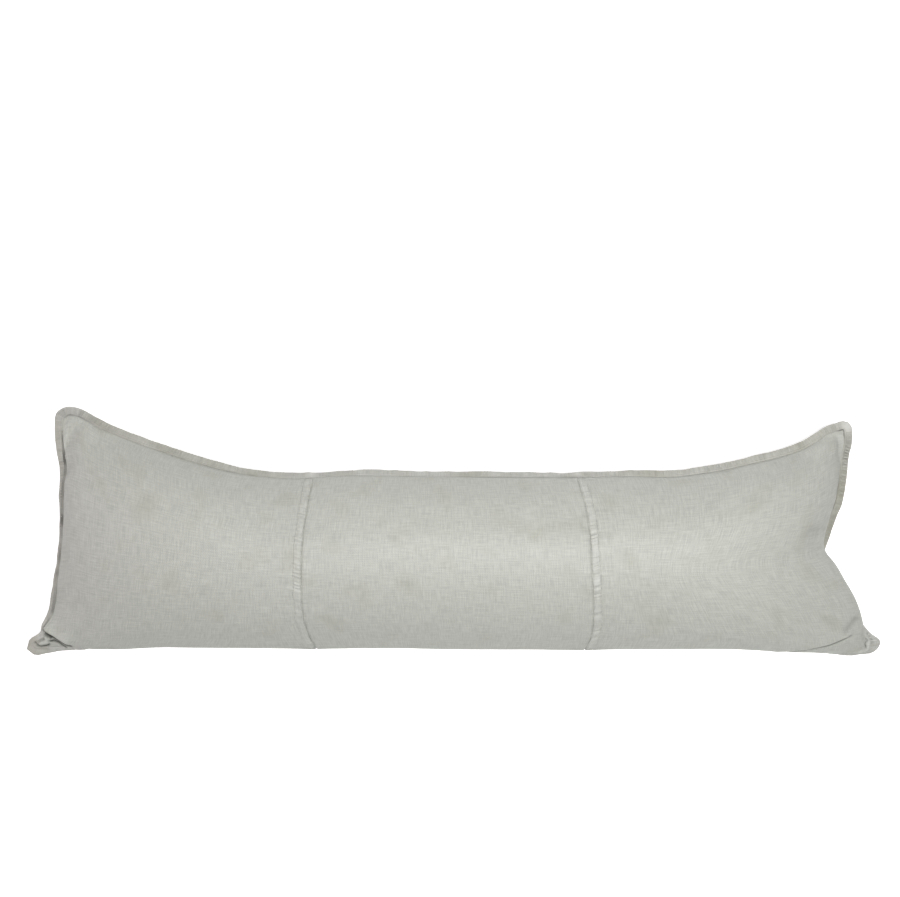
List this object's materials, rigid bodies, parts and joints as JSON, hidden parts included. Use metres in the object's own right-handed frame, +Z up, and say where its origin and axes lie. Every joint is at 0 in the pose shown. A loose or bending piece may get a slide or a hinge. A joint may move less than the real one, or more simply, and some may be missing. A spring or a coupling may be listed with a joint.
{
  "type": "lumbar cushion",
  "caption": "Long filled lumbar cushion of washed linen with a soft crown, drawn-in sides, felled seams across its face and an overlocked flange round its edge.",
  "frame": {"origin": "on the surface that the cushion lies on, under the middle of its box", "axes": "+X along the cushion, +Y across it towards the sagging edge, +Z up through its face"},
  "size_m": [1.2157, 0.3546, 0.1638],
  "materials": {
    "washed_linen": "washed sage-grey linen, matt",
    "overlocked_linen": "doubled linen edge with overlock thread, matt"
  },
  "bodies": {
    "root": {"filled_body": "washed_linen", "edge_flange": "overlocked_linen"}
  },
  "joints": []
}
